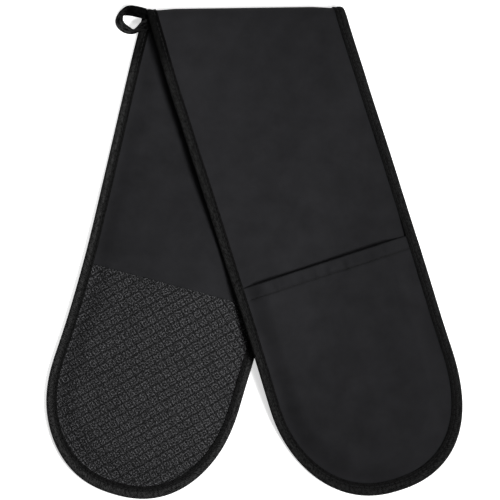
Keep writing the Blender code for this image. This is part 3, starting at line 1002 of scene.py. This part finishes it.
def panel_face(mitt, along, across, seed):
    """The printed face of a grip panel, as a height."""
    levels, stray = levels_of[mitt.name](along, across), swell(mitt, along, across, seed)
    lift = top_lift * (1 + 0.6 * ruffle(across, seed, 14 * MM)) * bell(along - mitt.grip_start, 5 * MM)
    if mitt is back:
        return levels[3] + stray + lift
    return np.maximum(levels[0] + 0.4 * stray - 0.3 * lift, 0.0)


def grip_panel(mitt, seed):
    beyond = straight_rows(14 * MM, mitt.end_start - mitt.grip_start, 3.5 * MM)
    places = mitt.grip_start + np.concatenate([top_rows, beyond])
    along, across = grid(mitt, places, pad_columns)
    wavy = ruffle(across, seed + 4, 22 * MM) * bell(along - mitt.grip_start, 20 * MM)
    along = along + top_stray * wavy
    face = panel_face(mitt, along, across, seed)
    turned = top_turn * np.clip(1 - (along - along[:1]) / (0.5 * MM), 0, 1)
    heights = (face - turned, face - fabric) if mitt is back else (face + fabric, face + turned)
    piece = mitt_layer(mitt, "grip_cloth", along, across, heights, print_measures(mitt, along, across))
    stands_for(piece, mitt.name, ("_grip_panel",), grip_print)


grip_panel(back, 1.0)
grip_panel(front, 11.0)

# %% [markdown]
# ## The fold
#
# At the top the strip turns over on itself in half a circle, round an axis that lies askew, so that the
# front mitt comes out leaning the other way. A Simple Deform bend would also bend the mitts, so the fold
# is drawn on its own, with the layers of the back mitt wound round the axis, and swells out by 1.6 mm.

# %% Fold
fold_rows, fold_swell = 48, 1.6 * MM
fold_turns = np.linspace(0, 1, fold_rows + 1)[:, None]


def over_fold(across, turn, height):
    """Points on the fold: turn runs from 0 at the back mitt to 1 at the front mitt."""
    angle = math.pi * (turn - 0.5)
    radius = fold_radius - height
    sideways = fold_shift * (turn - 0.5) + across / math.cos(fold_skew)
    out = (radius + fold_swell) * np.cos(angle)
    plan = fold_centre + sideways[..., None] * along_fold - out[..., None] * down_fold
    return np.concatenate([plan, (fold_radius + radius * np.sin(angle))[..., None]], -1)


def bends_over(piece):
    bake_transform(piece)


sides, insets = pad_columns
across, turn = np.broadcast_arrays(sides * (half_width - insets), fold_turns)
_, _, low, high = back_levels(np.zeros_like(across), across)
fold_uv = np.stack([across, -(1 - turn) * math.pi * fold_radius + math.tan(fold_skew) * across], -1)
fold_faces = (over_fold(across, turn, height) for height in (high, low))
fold_pad = closed_piece("fold_pad", *fold_faces, fold_uv, sharp=40)
endings = ("_pocket_side_fabric", "_wadding", "_grip_side_fabric")
stands_for(fold_pad, "fold", endings, strip_cloth)
bends_over(fold_pad)

# %% Tapes and seams at the ends of the fold
tape_shift = 100 * MM
fold_seam_lift = 0.2 * MM


def fold_face(side, part):
    """One face of a tape. At the front mitt the section has turned over: its top has become its bottom."""
    turned_over = part[::-1] * np.array((1, -1, -1)) + np.array((0, 1, 0))
    inset, share, stand = (mix(part[None, :, k], turned_over[None, :, k], fold_turns) for k in range(3))
    across = side * (half_width - inset * MM)
    low, high = bound_heights(back, np.zeros_like(across), across)
    turn = np.broadcast_to(fold_turns, across.shape)
    return over_fold(across, turn, mix(low, high, share) + stand * MM)


def fold_tape(label, side):
    """A tape and its seam. The right one's cloth is taken from beyond the stretch of painted shadow."""
    part = "fold_" + label
    faces = [fold_face(side, face) for face in (outer_section, inner_section)]
    # the right tape's run is shifted past the painted shadow
    shift = tape_shift if side > 0 else 0
    run = run_of(faces[0][:, 3])
    bends_over(tape_piece(part + "_tape", part, faces, run, shift, tape_cloth_of["front"]))
    seam = np.full((fold_rows + 1, 1), half_width - seam_inset) * side
    low, high = bound_heights(back, np.zeros_like(seam), seam)
    line = over_fold(seam, fold_turns, low - fold_seam_lift)[:, 0]
    away = line - over_fold(seam, fold_turns, high)[:, 0]
    bends_over(stitches(part + "_seam", (line, away)))


fold_tape("left", -1)
fold_tape("right", 1)

# %% [markdown]
# ## The hanging loop
#
# A woven tape, 10 mm wide, is sewn into the left end of the fold. It goes out flat, turns over and comes
# back, which leaves a hole for a hook. A curve with a flat bevel twists as it likes, so the loop is a
# ribbon along a smooth line, and each place has its own turn about it. The tape's tone is given along
# its run: nearly black to 17 mm, lighter from 26 mm, and darker again past 45 mm.

# %% The loop's line
# Each place is: to the left of the root, down the picture, up from the table, in mm, and turned, in degrees.
loop_places = (
    (-2.9, -4.0, 11.3, 8), (-1.0, -4.3, 11.2, 6), (1.5, -5.1, 11.0, 6), (6.0, -6.1, 10.4, 10),
    (10.5, -6.9, 9.4, 16), (14.7, -6.7, 8.0, 32), (18.3, -5.1, 6.6, 58), (20.4, -1.5, 5.6, 54),
    (20.9, 2.7, 5.0, 44), (19.0, 6.6, 4.8, 42), (15.0, 9.7, 5.2, 46), (10.3, 11.2, 6.2, 58),
    (6.3, 11.1, 7.8, 72), (2.9, 9.3, 9.4, 60), (-0.7, 6.9, 9.6, 36), (-4.4, 5.4, 8.9, 18),
    (-7.5, 4.6, 8.7, 12),
)
left_end = over_fold(np.array(-half_width), np.array(0.5), fold_radius)
loop_root = np.array((left_end[0] - 2.2 * MM, left_end[1] + gap, 0.0))
places = np.array(loop_places) * (-MM, -MM, MM, math.radians(1))
places = np.concatenate([places[:1], places, places[-1:]])
spots = []
for before, start, end, after in zip(places, places[1:], places[2:], places[3:]):
    bend, twist = 2 * before - 5 * start + 4 * end - after, 3 * start - before - 3 * end + after
    for part in np.arange(12) / 12:
        spots.append(start + 0.5 * part * (end - before + part * (bend + part * twist)))
spots = np.array([*spots, places[-1]])
loop_line, loop_turns = loop_root + spots[:, :3], spots[:, 3]
loop_run = run_of(loop_line)
print("the loop's length:", in_mm(loop_run[-1]), "mm")

# %% Loop finish
turn_over, turn_back, ramp = -1.9, -5.0, 110.0
loop_cloth, shader, cloth = new_material("loop_cloth", 0.85, 0.03)
(rib,) = placed(ribs, cloth, Pitch=2.6 * MM)
drawn_out = moved(cloth, "MULTIPLY", (0.25, 1.0, 1.0))
flecked = flecks(drawn_out, rib, 1.6 * MM, 7.0, 0.5, 0.1)
ramps = (parts_of(cloth)[0] * ramp + start for start in (turn_over, turn_back))
over, back_again = (rising.math("MINIMUM", 1.0).math("MAXIMUM", 0.0) for rising in ramps)
# the tone is given along the loop's run: a dark part and a light part
dark_part = blended(flecked, grey(0.0004), grey(0.0030))
light_part = blended(flecked, grey(0.0010), grey(0.0460))
feed(shader, {"Base Color": blended(back_again * -0.8 + over, dark_part, light_part)})
bumped(shader, rib, 0.1 * MM)

# %% Loop tape
loop_width, loop_thick = 10.0 * MM, 1.0 * MM
loop_bend, bend_height = (3.5 * MM, -4 * MM), 0.009
half_shares = (0.5, 0.48, 0.42)
shares = np.concatenate([np.negative(half_shares), np.linspace(-0.34, 0.34, 7), half_shares[::-1]])
thickness = loop_thick / 2 * np.array([0.45, 0.8, 1.0] + [0.9] * 7 + [1.0, 0.8, 0.45])
ahead = unit(np.gradient(loop_line, axis=0))
level = unit(np.stack([-ahead[:, 1], ahead[:, 0], np.zeros(len(ahead))], 1))
turns = loop_turns[:, None]
wide = level * np.cos(turns) + np.cross(ahead, level) * np.sin(turns)
middle = loop_line[:, None] + wide[:, None] * (shares * loop_width)[None, :, None]
out = np.cross(ahead, wide)[:, None] * thickness[None, :, None]
loop_uv = np.stack(np.broadcast_arrays(loop_run[:, None], shares * loop_width * 0.6), -1)
loop_tape = closed_piece("loop_tape", middle + out, middle - out, loop_uv)
stands_for(loop_tape, "hanging_loop", ("",), loop_cloth)
start, end = (tuple(loop_root + (bend, 0, bend_height)) for bend in loop_bend)
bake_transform(loop_tape)
